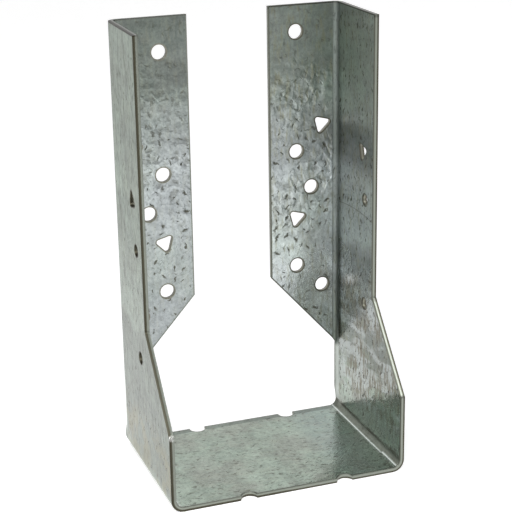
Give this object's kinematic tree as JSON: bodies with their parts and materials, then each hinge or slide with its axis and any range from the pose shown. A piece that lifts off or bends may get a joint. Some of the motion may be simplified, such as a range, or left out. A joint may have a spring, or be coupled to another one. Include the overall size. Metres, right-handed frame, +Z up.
{
  "type": "joist hanger",
  "caption": "Galvanised steel joist hanger folded from one sheet, with its nailing flanges turned in behind the joist, a flat seat, and round and triangular nail holes.",
  "frame": {"origin": "middle of the footprint, level with the underside of the seat", "axes": "+X across the joist to the right arm, +Y towards the header, against which the flanges' rear faces lie, +Z up the side plates"},
  "size_m": [0.0944, 0.064, 0.1735],
  "materials": {
    "galvanised": "hot-dip galvanised sheet, semi-bright, with small dark spots and light handling marks"
  },
  "bodies": {
    "root": {"hanger": "galvanised"}
  },
  "joints": []
}
